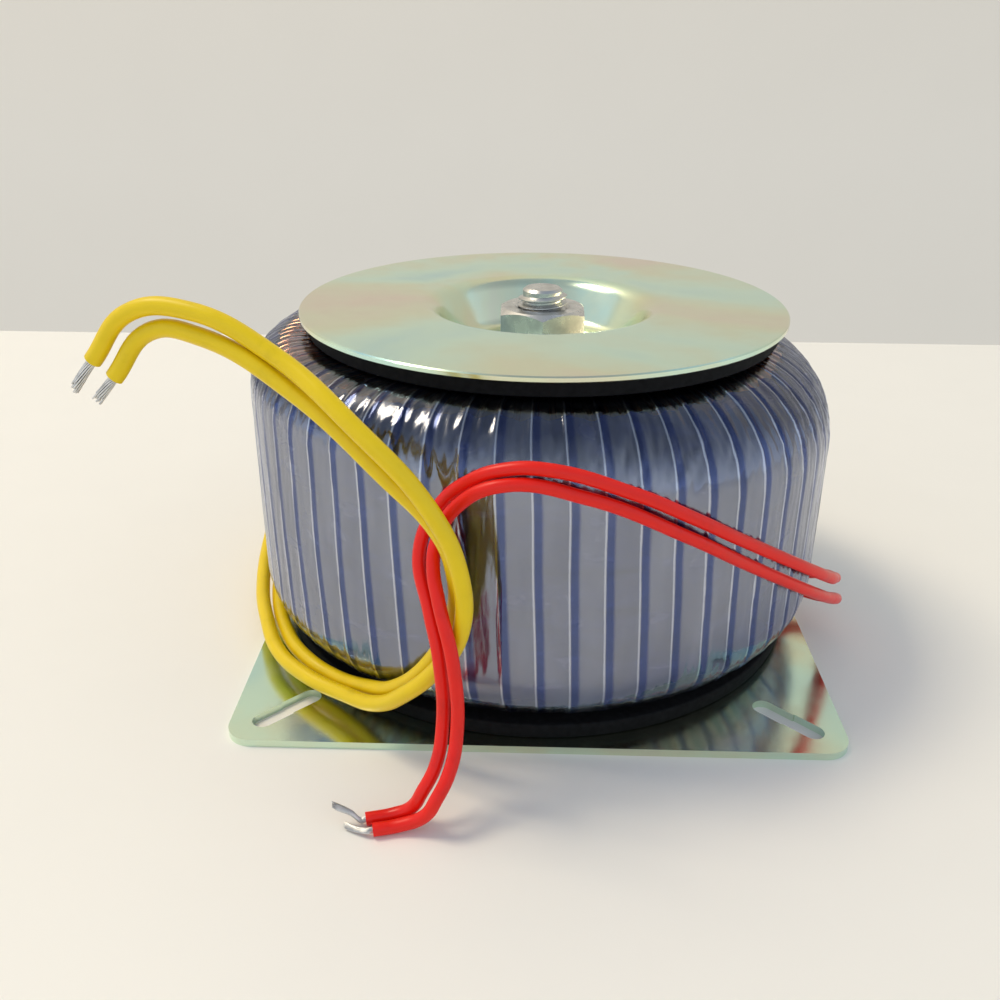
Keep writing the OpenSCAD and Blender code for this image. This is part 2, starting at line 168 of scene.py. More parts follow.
class TransformerColours(bpy.types.PropertyGroup):
    """Colours of the transformer's finishes"""

    film: colour_property("Film", "Sheen of the clear outer film", (0.80, 0.85, 1.0))
    # Painted reflection: this colour tints the film's mirror darker and bluer over each lap, in
    # place of the curved lap edges that mirror less of the bright room
    lap_painted_reflection: colour_property("Film lap", "Sheen where two strips lie over each other",
                              (0.30, 0.38, 0.74))
    band: colour_property("Blue band", "Blue tape round the winding", (0.012, 0.026, 0.17))
    copper: colour_property("Copper", "Enamelled copper wire", (0.95, 0.47, 0.24))
    tape: colour_property("Tape", "Tape between the windings", (0.10, 0.07, 0.05))
    passivate_green: colour_property("Green tint", "Green tint of the passivated zinc",
                                     (0.64, 0.84, 0.70))
    passivate_gold: colour_property("Gold tint", "Gold tint of the passivated zinc",
                                    (0.72, 0.75, 0.54))
    zinc: colour_property("Zinc", "Bright zinc of the bolt and the nut", (0.66, 0.66, 0.65))
    rubber: colour_property("Rubber", "Black rubber of the pads", (0.004, 0.004, 0.0045))
    yellow: colour_property("Yellow", "Yellow lead sleeve", (0.80, 0.56, 0.004))
    red: colour_property("Red", "Red lead sleeve", (0.80, 0.010, 0.003))
    tin: colour_property("Tin", "Tinned strands", (0.72, 0.71, 0.69))
    floor: colour_property("Floor", "Pale table", (0.90, 0.87, 0.81))
    wall: colour_property("Wall", "Pale wall behind the table", (0.72, 0.645, 0.54))


# ---- Materials ----


class Finish:
    """A node material that is built up one node at a time."""

    def __init__(self, title, **settings):
        self.material = bpy.data.materials.new(title)
        self.material.use_nodes = True
        self.tree = self.material.node_tree
        self.shader = self.tree.nodes["Principled BSDF"]
        for socket, value in settings.items():
            name = socket.replace("_", " ").title().replace("Ior", "IOR")
            self.shader.inputs[name].default_value = value

    def node(self, kind, **settings):
        made = self.tree.nodes.new(kind)
        for name, value in settings.items():
            setattr(made, name, value)
        return made

    def link(self, source, target):
        self.tree.links.new(source, target)

    def shade(self, socket, source):
        self.link(source, self.shader.inputs[socket])

    def position(self):
        return self.node("ShaderNodeTexCoord").outputs["Object"]

    def stretched(self, source, scale):
        mapping = self.node("ShaderNodeMapping")
        mapping.inputs["Scale"].default_value = scale
        self.link(source, mapping.inputs["Vector"])
        return mapping.outputs["Vector"]

    def noise(self, source, scale, detail=4.0, distortion=0.0):
        made = self.node("ShaderNodeTexNoise")
        made.inputs["Scale"].default_value = scale
        made.inputs["Detail"].default_value = detail
        made.inputs["Distortion"].default_value = distortion
        self.link(source, made.inputs["Vector"])
        return made.outputs["Fac"]

    def math(self, operation, first, second=0.0):
        made = self.node("ShaderNodeMath", operation=operation)
        for socket, value in zip(made.inputs, (first, second)):
            if isinstance(value, (int, float)):
                socket.default_value = value
            else:
                self.link(value, socket)
        return made.outputs[0]

    def between(self, source, low, high, to_low=0.0, to_high=1.0):
        made = self.node("ShaderNodeMapRange")
        made.inputs["From Min"].default_value = low
        made.inputs["From Max"].default_value = high
        made.inputs["To Min"].default_value = to_low
        made.inputs["To Max"].default_value = to_high
        self.link(source, made.inputs["Value"])
        return made.outputs["Result"]

    def ramp(self, source, stops):
        made = self.node("ShaderNodeValToRGB")
        elements = made.color_ramp.elements
        while len(elements) < len(stops):
            elements.new(0.5)
        for element, (place, colour) in zip(elements, stops):
            element.position = place
            element.color = (*colour, 1)
        self.link(source, made.inputs["Fac"])
        return made.outputs["Color"]

    def bump(self, height, distance, strength=1.0):
        made = self.node("ShaderNodeBump")
        made.inputs["Distance"].default_value = distance
        made.inputs["Strength"].default_value = strength
        self.link(height, made.inputs["Height"])
        self.shade("Normal", made.outputs["Normal"])


# Finishes that more than one piece wears
FINISHES = {}


def finished(name, make, *values):
    """Makes a finish once and hands the same one to every piece that wears it."""
    if name not in FINISHES:
        FINISHES[name] = make(*values)
    return FINISHES[name]


def tinted(colour, factor):
    """A colour made darker or lighter by a factor."""
    return tuple(min(1.0, channel * factor) for channel in colour)


def passivated_steel(colours):
    """Zinc plate with a yellow-green passivation that drifts from green to gold."""
    finish = Finish("passivated zinc", metallic=1.0)
    place = finish.position()
    drift = finish.noise(place, 20.0, 3.0, 0.6)
    mottle = finish.noise(place, 160.0, 5.0)
    colour = finish.ramp(finish.math("ADD", drift, finish.math("MULTIPLY", mottle, 0.12)), [
        (0.34, (0.50, 0.74, 0.72)),
        (0.47, tuple(colours.passivate_green)),
        (0.60, tuple(colours.passivate_gold)),
        (0.72, (0.76, 0.66, 0.54)),
    ])
    finish.shade("Base Color", colour)
    finish.shade("Roughness", finish.between(mottle, 0.3, 0.7, 0.14, 0.24))
    scratches = finish.noise(finish.stretched(place, (1.0, 18.0, 4.0)), 420.0, 2.0)
    finish.bump(finish.math("ADD", scratches, mottle), 0.00001, 0.25)
    return finish.material


def zinc(colours):
    """Bright zinc plating, a little dull with handling."""
    finish = Finish("bright zinc", metallic=1.0)
    place = finish.position()
    grime = finish.noise(place, 320.0, 6.0)
    finish.shade("Base Color", finish.ramp(grime, [
        (0.35, tinted(colours.zinc, 0.72)), (0.62, tuple(colours.zinc))]))
    finish.shade("Roughness", finish.between(grime, 0.3, 0.7, 0.38, 0.22))
    finish.bump(grime, 0.00003, 0.6)
    return finish.material


def rubber(colours):
    finish = Finish("black rubber", roughness=0.75, specular_ior_level=0.15)
    grain = finish.noise(finish.position(), 900.0, 3.0)
    finish.shade("Base Color", finish.ramp(grain, [
        (0.3, tinted(colours.rubber, 0.6)), (0.7, tinted(colours.rubber, 1.8))]))
    finish.bump(grain, 0.00006, 0.7)
    return finish.material


def enamelled_copper(colours):
    finish = Finish("enamelled wire", metallic=1.0, coat_weight=0.6, coat_roughness=0.12)
    shade = finish.noise(finish.position(), 90.0, 3.0)
    finish.shade("Base Color", finish.ramp(shade, [
        (0.32, tinted(colours.copper, 0.62)), (0.66, tuple(colours.copper))]))
    finish.shade("Roughness", finish.between(shade, 0.3, 0.7, 0.18, 0.30))
    return finish.material


def insulating_tape(colours):
    finish = Finish("winding tape", roughness=0.55)
    fibre = finish.noise(finish.position(), 500.0, 4.0)
    finish.shade("Base Color", finish.ramp(fibre, [
        (0.3, tinted(colours.tape, 0.6)), (0.7, tinted(colours.tape, 1.6))]))
    finish.bump(fibre, 0.00004, 0.5)
    return finish.material


def core_steel(colours):
    """Edges of a wound steel strip: fine rings round the axis."""
    finish = Finish("wound strip steel", metallic=1.0, roughness=0.45)
    split = finish.node("ShaderNodeSeparateXYZ")
    finish.link(finish.position(), split.inputs[0])
    across = finish.math("POWER", split.outputs["X"], 2.0)
    along = finish.math("POWER", split.outputs["Y"], 2.0)
    radius = finish.math("SQRT", finish.math("ADD", across, along))
    rings = finish.math("FRACT", finish.math("MULTIPLY", radius, 3300.0))
    finish.shade("Base Color", finish.ramp(rings, [
        (0.1, (0.10, 0.10, 0.11)), (0.5, tinted(colours.zinc, 0.5))]))
    return finish.material


def strip_place(finish, strips):
    """Where a point lies across its drawn strip, from 0 at the edge that carries the painted glint
    line to 1.

    The drawn strips lean as the mesh's laps do but sway by themselves, so a line can lie
    a part of a strip away from the lap in the mesh.
    """
    split = finish.node("ShaderNodeSeparateXYZ")
    place = finish.position()
    finish.link(place, split.inputs[0])
    angle = finish.math("ARCTAN2", split.outputs["Y"], split.outputs["X"])
    rounds = finish.math("MULTIPLY", angle, strips / TURN)
    lean = finish.math("MULTIPLY", split.outputs["Z"], STRIP_LEAN / MM)
    sway = finish.math("SUBTRACT", finish.noise(place, 22.0, 1.0), 0.5)
    shifted = finish.math("ADD", finish.math("ADD", rounds, lean),
                          finish.math("MULTIPLY", sway, 0.5))
    return finish.math("FRACT", finish.math("ADD", shifted, float(strips))), place


def clear_film(colours, strips):
    """Thin film that mirrors a little, most along one thin line in each strip, which is a painted
    glint; a painted darker reflection lies over each lap, and a painted sheen on its sides with
    painted shade on its top.
    """
    finish = Finish("clear film", metallic=1.0)
    across, place = strip_place(finish, strips)
    # Painted glint: a thin white line at one edge of each strip raises the film's mirror share in
    # place of the glint off the lap's edge
    edge = finish.ramp(across, [
        (0.0, (1, 1, 1)), (0.03, (1, 1, 1)), (0.06, (0, 0, 0)), (0.97, (0, 0, 0)),
        (1.0, (0.3, 0.3, 0.3))])
    haze = finish.noise(finish.stretched(place, (1, 1, 0.25)), 130.0, 4.0)
    # Over each lap the mirror takes the painted darker lap reflection colour
    colour = finish.ramp(across, [
        (0.0, tuple(colours.film)), (0.05, tuple(colours.film)),
        (0.08, tuple(colours.lap_painted_reflection)), (0.24, tuple(colours.lap_painted_reflection)),
        (0.34, tuple(colours.film))])
    finish.shade("Base Color", colour)
    finish.shade("Roughness", finish.between(haze, 0.3, 0.7, 0.10, 0.24))
    # Painted sheen and shade: the film mirrors up to 0.12 more on its sides and underside and 0.06
    # less on its top than Fresnel gives, in place of a bright room round it and a dark one
    # overhead
    fresnel = finish.node("ShaderNodeFresnel")
    fresnel.inputs["IOR"].default_value = 2.3
    facing = finish.node("ShaderNodeSeparateXYZ")
    finish.link(finish.node("ShaderNodeNewGeometry").outputs["Normal"], facing.inputs[0])
    mirror = finish.math("ADD", fresnel.outputs[0],
                         finish.between(facing.outputs["Z"], 0.15, 0.6, 0.12, -0.06))
    # The painted glint line adds 0.30 to the mirror share
    sheen = finish.math("ADD", mirror, finish.math("MULTIPLY", edge, 0.30))
    finish.shade("Alpha", finish.math("MINIMUM", finish.math(
        "ADD", sheen, finish.between(haze, 0.4, 0.8, 0.0, 0.08)), 1.0))
    crease = finish.noise(finish.stretched(place, (1, 1, 0.35)), 260.0, 5.0, 0.8)
    finish.bump(crease, 0.00012, 0.5)
    finish.material.surface_render_method = "BLENDED"
    return finish.material


def blue_tape(colours):
    """Deep blue tape with a glossy face and soft creases."""
    finish = Finish("blue tape", coat_weight=0.5, coat_roughness=0.1)
    place = finish.position()
    haze = finish.noise(finish.stretched(place, (1, 1, 2.2)), 90.0, 5.0, 0.5)
    finish.shade("Base Color", finish.ramp(haze, [
        (0.30, tinted(colours.band, 0.55)), (0.52, tuple(colours.band)),
        (0.75, tinted(colours.band, 1.9))]))
    finish.shade("Roughness", finish.between(haze, 0.3, 0.7, 0.14, 0.30))
    finish.bump(haze, 0.00025, 0.6)
    return finish.material


def soft_sleeve(name, colour):
    """Soft plastic sleeve with faint handling marks."""
    finish = Finish(name, specular_ior_level=0.35)
    place = finish.position()
    marks = finish.noise(place, 260.0, 5.0)
    finish.shade("Base Color", finish.ramp(marks, [
        (0.22, tinted(colour, 0.86)), (0.42, tuple(colour)), (0.80, tinted(colour, 1.06))]))
    finish.shade("Roughness", finish.between(marks, 0.3, 0.7, 0.30, 0.46))
    finish.bump(finish.noise(place, 1500.0, 2.0), 0.00002, 0.4)
    return finish.material


def tinned(colours):
    finish = Finish("tinned wire", metallic=1.0, roughness=0.3)
    shade = finish.noise(finish.position(), 800.0, 3.0)
    finish.shade("Base Color", finish.ramp(shade, [
        (0.3, tinted(colours.tin, 0.75)), (0.6, tuple(colours.tin))]))
    return finish.material


def painted(name, colour, roughness, grain):
    """Plain stage surface with a faint grain."""
    finish = Finish(name, roughness=roughness)
    speck = finish.noise(finish.position(), grain, 3.0)
    finish.shade("Base Color", finish.ramp(speck, [
        (0.2, tinted(colour, 0.985)), (0.8, tuple(colour))]))
    return finish.material


# ---- Shapes ----

# Share of a strip's width that the film's laps lean over for each millimetre of height
STRIP_LEAN = 0.006
# Share of a strip's width that a lap wanders to either side, and its waves in one round
LAP_WANDER, WANDER_WAVES = 0.10, 3
# Heights of what shows in the film: the turns under it, its dents and its shoulder's wrinkles
RIB_HEIGHT, DENT_HEIGHT, WRINKLE_HEIGHT = 0.06 * MM, 0.10 * MM, 0.34 * MM
# How deep the blue tape lies under the film, its thickness, and the height of its creases
BAND_DEPTH, BAND_THICKNESS, BAND_CREASE = 0.52 * MM, 0.12 * MM, 0.20 * MM
# Columns of points in one film strip, and points round the film's section
STRIP_COLUMNS, FILM_ROWS = 15, 88
# Radii of the pads' hole and of their edges, and of the washer's hole and its edges
PAD_HOLE, PAD_EDGE, WASHER_HOLE, WASHER_EDGE = 26 * MM, 0.5 * MM, 5.25 * MM, 0.25 * MM
# Radius of the bolt over its thread, and height of its head's upper face
THREAD_CREST, HEAD_TOP = 5.0 * MM, 7.0 * MM
# A radius small enough to close a turned shape on its axis
AXIS_GAP = 0.0005 * MM
# Parts of the wound section, from the outer wall on, and each one's share of its points
SECTION_SHARES = (0.16, 0.24, 0.10, 0.06, 0.12, 0.06, 0.10, 0.16)


def deselect():
    """Leaves nothing selected, so that an operator works on its own piece alone."""
    bpy.ops.object.select_all(action="DESELECT")


def named(name):
    """Names the object that an operator has just added."""
    made = bpy.context.object
    made.name = name
    made.data.name = name
    return made


def settle(piece, material, slot, *nodes):
    """Gives a finished piece its material and its body, and hides the CAD nodes it stands for."""
    piece.data.materials.clear()
    piece.data.materials.append(material)
    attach(piece, "root")
    if nodes:
        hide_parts(*nodes)
    return piece


def smooth(piece, angle=None):
    """Shades a piece smooth, or only where its faces meet under the angle in degrees."""
    deselect()
    piece.select_set(True)
    bpy.context.view_layer.objects.active = piece
    if angle is None:
        bpy.ops.object.shade_smooth()
    else:
        bpy.ops.object.shade_smooth_by_angle(angle=math.radians(angle))


def apply_modifiers(piece):
    """Applies every modifier of a piece, in order."""
    bpy.context.view_layer.objects.active = piece
    for modifier in list(piece.modifiers):
        bpy.ops.object.modifier_apply(modifier=modifier.name)


def body_section(sizes, angle, share, depth):
    """Points of the wound body's section: radius, height and the outward normal of each."""
    low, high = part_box("outer_film_wrap")
    outer, inner = high.x - depth, sizes.hole_radius + depth
    bottom, top = low.z + depth, high.z - depth
    shoulder = sizes.shoulder_radius + sizes.lead_swell * np.cos(angle) - depth
    foot = np.full_like(shoulder, sizes.foot_radius - depth)
    throat = np.full_like(shoulder, sizes.throat_radius - depth)
    parts = (
        (outer, bottom + foot, 0, top - shoulder - bottom - foot, None),
        (outer - shoulder, top - shoulder, 0, shoulder, 0),
        (outer - shoulder, top, inner + throat - outer + shoulder, 0, None),
        (inner + throat, top - throat, 0, throat, 90),
        (inner, top - throat, 0, bottom + 2 * throat - top, None),
        (inner + throat, bottom + throat, 0, throat, 180),
        (inner + throat, bottom, outer - foot - inner - throat, 0, None),
        (outer - foot, bottom + foot, 0, foot, 270),
    )
    radius, height = np.zeros_like(angle), np.zeros_like(angle)
    across, up = np.zeros_like(angle), np.zeros_like(angle)
    start = 0.0
    for number, (part, width) in enumerate(zip(parts, SECTION_SHARES)):
        here = (share >= start - 1e-9) & (share < start + width - 1e-9)
        along = (share - start) / width
        first, second, run, rise, corner = part
        if corner is None:
            r, z = first + run * along, second + rise * along
            facing = np.full_like(angle, math.radians(90 * (number // 2)))
        else:
            facing = np.radians(corner + 90 * along)
            r, z = first + rise * np.cos(facing), second + rise * np.sin(facing)
        for target, value in ((radius, r), (height, z), (across, np.cos(facing)),
                              (up, np.sin(facing))):
            target[here] = np.broadcast_to(value, angle.shape)[here]
        start += width
    return radius, height, across, up


def ripple(angle, height, seed, waves, reach, climb):
    """Gentle uneven waves from 0 to 1 that run round the body and up it."""
    chance = np.random.default_rng(seed)
    total = np.zeros_like(angle)
    for _ in range(waves):
        total += np.sin(
            int(chance.integers(*reach)) * angle
            + chance.uniform(*climb) * height / MM
            + chance.uniform(0, TURN)
        )
    return 0.5 + 0.5 * np.tanh(total / math.sqrt(waves))


def place_vertices(piece, points):
    """Moves the vertices of a piece to the given points."""
    piece.data.vertices.foreach_set("co", points.astype(np.float32).ravel())
    piece.data.update()


def sheet(name, columns, rows):
    """Adds a grid and tells how far along and how far up it each of its points lies."""
    deselect()
    bpy.ops.mesh.primitive_grid_add(x_subdivisions=columns, y_subdivisions=rows, size=1)
    piece = named(name)
    grid = np.empty(len(piece.data.vertices) * 3, np.float32)
    piece.data.vertices.foreach_get("co", grid)
    grid = grid.reshape(-1, 3).astype(float).round(6) + 0.5
    return piece, grid[:, 0], grid[:, 1]


def close_seams():
    """Joins the edges of the active sheet where they meet, with its faces outward."""
    bpy.ops.object.mode_set(mode="EDIT")
    bpy.ops.mesh.select_all(action="SELECT")
    bpy.ops.mesh.remove_doubles(threshold=2e-6)
    bpy.ops.mesh.normals_make_consistent(inside=False)
    bpy.ops.object.mode_set(mode="OBJECT")


def lathe(name, outline, steps=180):
    """Spins a closed outline of (radius, height) points into a solid of revolution."""
    deselect()
    bpy.ops.mesh.primitive_circle_add(vertices=len(outline), fill_type="NOTHING")
    piece = named(name)
    place_vertices(piece, np.array([(r, 0.0, z) for r, z in outline]))
    bpy.ops.object.mode_set(mode="EDIT")
    bpy.ops.mesh.select_all(action="SELECT")
    bpy.ops.mesh.spin(steps=steps, angle=TURN, center=(0, 0, 0), axis=(0, 0, 1))
    bpy.ops.mesh.select_all(action="SELECT")
    bpy.ops.mesh.remove_doubles(threshold=1e-7)
    bpy.ops.mesh.normals_make_consistent(inside=False)
    bpy.ops.object.mode_set(mode="OBJECT")
    smooth(piece, 32)
    return piece


def rounded(points, radius, steps=3):
    """A closed outline with each corner cut to a small arc."""
    made = []
    count = len(points)
    for i, point in enumerate(points):
        here = Vector(point)
        before = (Vector(points[i - 1]) - here).normalized()
        after = (Vector(points[(i + 1) % count]) - here).normalized()
        start, end = here + before * radius, here + after * radius
        for step in range(steps + 1):
            t = step / steps
            made.append(tuple(start * (1 - t) ** 2 + here * 2 * t * (1 - t) + end * t * t))
    return made


def double_bend(start, end, bend, lift, steps=10):
    """The curve between two levels of a pressed sheet, lifted off the sheet's middle."""
    side = math.copysign(1, end[0] - start[0])
    rise = math.copysign(1, end[1] - start[1])
    run, drop = abs(end[0] - start[0]), abs(end[1] - start[1]) - 2 * bend
    turn = math.atan2(drop, run) + math.asin(2 * bend / math.hypot(run, drop))
    first, last = bend - rise * lift, bend + rise * lift
    angles = [turn * i / steps for i in range(steps + 1)]
    made = [(start[0] + first * side * math.sin(a), start[1] + rise * bend
             - first * rise * math.cos(a)) for a in angles]
    made += [(end[0] - last * side * math.sin(a), end[1] - rise * bend
              + last * rise * math.cos(a)) for a in reversed(angles)]
    return made


def smooth_path(points, steps=10):
    """Points along a smooth curve through the given ones."""
    given = np.array(points, float)
    ends = np.vstack([2 * given[0] - given[1], given, 2 * given[-1] - given[-2]])
    made = []
    for i in range(1, len(ends) - 2):
        before, start, end, after = ends[i - 1:i + 3]
        for t in np.linspace(0, 1, steps, endpoint=False):
            made.append(0.5 * (2 * start + (end - before) * t
                               + (2 * before - 5 * start + 4 * end - after) * t ** 2
                               + (3 * start - before - 3 * end + after) * t ** 3))
    return np.array(made + [given[-1]])


# ---- Operators ----


class TRANSFORMER_OT_camera(bpy.types.Operator):
    """Stand the camera in front of the transformer, looking down at it"""

    bl_idname = "transformer.camera"
    bl_label = "Camera"

    def execute(self, context):
        pitch, yaw, roll = math.radians(24.96), math.radians(1.47), math.radians(0.41)
        ahead = Vector((-math.sin(yaw) * math.cos(pitch), math.cos(yaw) * math.cos(pitch),
                        -math.sin(pitch)))
        right = Vector((math.cos(yaw), math.sin(yaw), 0))
        upward = right.cross(ahead)
        level_right = right * math.cos(roll) + upward * math.sin(roll)
        level_up = upward * math.cos(roll) - right * math.sin(roll)
        data = bpy.data.cameras.new("camera")
        data.lens, data.sensor_width = 37.08, 36.0
        data.clip_start, data.clip_end = 0.01, 20.0
        camera = bpy.data.objects.new("camera", data)
        context.collection.objects.link(camera)
        turned = Matrix((level_right, level_up, -ahead)).transposed().to_4x4()
        camera.matrix_world = Matrix.Translation((-0.0031, -0.21015, 0.1221)) @ turned
        context.scene.camera = camera
        return {"FINISHED"}


class TRANSFORMER_OT_leads(bpy.types.Operator):
    """Lay the four sleeved leads along their routes, with their bare strands"""

    bl_idname = "transformer.leads"
    bl_label = "Leads"

    def sleeve(self, name, diameter, material):
        deselect()
        bpy.ops.curve.primitive_bezier_curve_add(location=(0, 0, 0))
        piece = named(name + "_sleeve")
        data = piece.data
        data.dimensions = "3D"
        points = data.splines[0].bezier_points
        points.add(len(ROUTES[name]) - len(points))
        for point, place in zip(points, ROUTES[name]):
            point.handle_left_type = point.handle_right_type = "AUTO"
            point.co = Vector(place) * MM
        data.resolution_u = 10
        data.bevel_depth = diameter / 2
        data.bevel_resolution = 6
        data.use_fill_caps = True
        return settle(piece, material, name.split("_")[0] + "_sleeve", name)

    def strands(self, name, diameter, material, seed):
        """Nineteen twisted and tinned strands, a little apart at their ends."""
        route = np.array(ROUTES[name][-2:], float) * MM
        along = (route[1] - route[0]) / np.linalg.norm(route[1] - route[0])
        points = [route[1] - 2 * MM * along, route[1], route[1] + MM * along]
        points += [np.array(p) * MM for p in TIPS[name]]
        path = smooth_path(points, 8)
        chance = np.random.default_rng(seed)
        thickness = diameter / 5
        deselect()
        bpy.ops.curve.primitive_nurbs_path_add(location=(0, 0, 0))
        piece = named(name + "_strands")
        data = piece.data
        data.splines.clear()
        data.dimensions = "3D"
        steps = len(path)
        aside = np.cross(along, (0.0, 1.0, 0.2))
        aside /= np.linalg.norm(aside)
        over = np.cross(along, aside)
        layers = [(0, 1), (1, 6), (2, 12)]
        for layer, count in layers:
            for k in range(count):
                spline = data.splines.new("POLY")
                trim = int(chance.integers(0, 3))
                spline.points.add(steps - 1 - trim)
                start = TURN * k / count + 0.2 * layer
                splay = chance.uniform(0.0, 0.35)
                for i in range(steps - trim):
                    t = i / (steps - 1)
                    out = layer * thickness * (1 + splay * max(0.0, t - 0.7) / 0.3)
                    a = start + 2.4 * t
                    p = path[i] + out * (math.cos(a) * aside + math.sin(a) * over)
                    spline.points[i].co = (*p, 1)
        data.bevel_depth = thickness / 2
        data.bevel_resolution = 1
        data.use_fill_caps = True
        bpy.ops.object.convert(target="MESH")
        smooth(piece)
        return settle(piece, material, "tinned_copper", name + "_tinned_end")

    def execute(self, context):
        sizes = context.scene.transformer_sizes
        colours = context.scene.transformer_colours
        yellow = soft_sleeve("yellow plastic", colours.yellow)
        red = soft_sleeve("red plastic", colours.red)
        tin = tinned(colours)
        for seed, name in enumerate(ROUTES):
            heavy = name.startswith("yellow")
            diameter = sizes.yellow_lead if heavy else sizes.red_lead
            bare = sizes.yellow_strands if heavy else sizes.red_strands
            sleeve = self.sleeve(name, diameter, yellow if heavy else red)
            strands = self.strands(name, bare, tin, seed)
        return {"FINISHED"}


class TRANSFORMER_OT_film(bpy.types.Operator):
    """Wrap the wound body in lapped strips of clear film"""

    bl_idname = "transformer.film"
    bl_label = "Outer film"

    def execute(self, context):
        sizes = context.scene.transformer_sizes
        piece, along, rise = sheet("film_wrap", sizes.strips * STRIP_COLUMNS, FILM_ROWS)
        angle, share = along * TURN, rise % 1.0
        radius, height, across, up = body_section(sizes, angle, share, 0.0)
        wander = LAP_WANDER * np.sin(WANDER_WAVES * angle + height / MM * 0.11)
        rounds = angle * sizes.strips / TURN + height / MM * STRIP_LEAN + wander
        strip = np.floor(rounds)
        inside = rounds - strip
        chance = np.random.default_rng(7)
        slack = chance.uniform(0, 0.09, sizes.strips)[strip.astype(int) % sizes.strips]
        ribs = 0.5 - 0.5 * np.cos(angle * sizes.turns)
        on_top = np.clip((up - 0.35) / 0.4, 0, 1)
        sink = sizes.lap * inside + slack * MM + RIB_HEIGHT * ribs * on_top
        sink += DENT_HEIGHT * ripple(angle, height, 3, 9, (40, 260), (-0.9, 0.9))
        wrinkled = np.exp(-((up - 0.45) / 0.3) ** 2) * (across > 0)
        creases = ripple(angle, height, 21, 12, (30, 210), (-2, 2)) - 0.7
        sink += WRINKLE_HEIGHT * wrinkled * creases
        radius -= across * sink
        height -= up * sink
        place_vertices(piece, np.stack(
            [radius * np.cos(angle), radius * np.sin(angle), height], 1))
        close_seams()
        smooth(piece)
        material = clear_film(context.scene.transformer_colours, sizes.strips)
        settle(piece, material, "outer_film", "outer_film_wrap")
        return {"FINISHED"}


class TRANSFORMER_OT_band(bpy.types.Operator):
    """Lay the blue tape round the winding, under the film, with its ragged upper edge"""

    bl_idname = "transformer.band"
    bl_label = "Blue band"

    def execute(self, context):
        sizes = context.scene.transformer_sizes
        piece, along, rise = sheet("blue_band", 720, 26)
        angle = along * TURN
        low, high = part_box("outer_film_wrap")
        shoulder = sizes.shoulder_radius + sizes.lead_swell * np.cos(angle)
        centre_r, centre_z = high.x - shoulder, high.z - shoulder
        ragged = ripple(angle, 0 * angle, 11, 7, (9, 60), (0, 0.1))
        notched = ripple(angle, 0 * angle, 12, 6, (60, 170), (0, 0.1))
        top_turn = sizes.band_turn + math.radians(7) * (ragged - 0.5)
        top_turn += math.radians(2) * (notched - 0.5)
        foot = sizes.foot_radius
        wall_low = low.z + foot
        wall = centre_z - wall_low
        under = foot * sizes.band_foot
        along = rise * (under + wall + shoulder * top_turn) - under
        turn = np.clip((along - wall) / shoulder, 0, None)
        crease = ripple(angle, along, 5, 10, (20, 150), (-1.4, 1.4))
        near_edge = np.clip((rise - 0.62) / 0.3, 0, 1)
        sink = BAND_DEPTH + BAND_CREASE * crease * near_edge
        dip = np.clip(-along / foot, 0, None)
        radius = np.where(along < 0, high.x - foot + (foot - sink) * np.cos(dip),
                          centre_r + (shoulder - sink) * np.cos(turn))
        height = np.where(along < wall, wall_low + along,
                          centre_z + (shoulder - sink) * np.sin(turn))
        height = np.where(along < 0, wall_low - (foot - sink) * np.sin(dip), height)
        place_vertices(piece, np.stack(
            [radius * np.cos(angle), radius * np.sin(angle), height], 1))
        close_seams()
        thicken = piece.modifiers.new("thickness", "SOLIDIFY")
        thicken.thickness = BAND_THICKNESS
        thicken.offset = -1
        apply_modifiers(piece)
        smooth(piece, 40)
        settle(piece, blue_tape(context.scene.transformer_colours), "blue_film",
               "blue_film_band")
        return {"FINISHED"}


class TRANSFORMER_OT_clamp_washer(bpy.types.Operator):
    """Press the dished washer and lay the two rubber pads"""

    bl_idname = "transformer.clamp_washer"
    bl_label = "Washer and pads"

    def execute(self, context):
        sizes = context.scene.transformer_sizes
        colours = context.scene.transformer_colours
        low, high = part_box("dished_washer")
        rim = max(high.x, high.y)
        floor_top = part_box("clamp_nut")[0].z
        gauge = floor_top - low.z
        middle = high.z - gauge / 2
        start = (sizes.dish_radius, middle)
        end = (sizes.floor_radius, floor_top - gauge / 2)
        outline = [(rim - WASHER_EDGE, high.z)]
        outline += double_bend(start, end, sizes.bend_radius, gauge / 2)
        outline += [(WASHER_HOLE + WASHER_EDGE, floor_top), (WASHER_HOLE, floor_top - WASHER_EDGE),
                    (WASHER_HOLE, low.z)]
        outline += double_bend(start, end, sizes.bend_radius, -gauge / 2)[::-1]
        outline += [(rim - WASHER_EDGE, high.z - gauge), (rim, high.z - gauge + WASHER_EDGE),
                    (rim, high.z - WASHER_EDGE)]
        washer = lathe("washer", outline, 240)
        settle(washer, finished("plate", passivated_steel, colours), "passivated_steel",
               "dished_washer")
        black = rubber(colours)
        for node, name in (("upper_rubber_pad", "upper_pad"), ("lower_rubber_pad", "lower_pad")):
            low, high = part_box(node)
            radius = max(high.x, high.y)
            ring = [(radius, low.z), (radius, high.z), (PAD_HOLE, high.z), (PAD_HOLE, low.z)]
            pad = lathe(name, rounded(ring, PAD_EDGE), 180)
            settle(pad, black, "rubber", node)
        return {"FINISHED"}


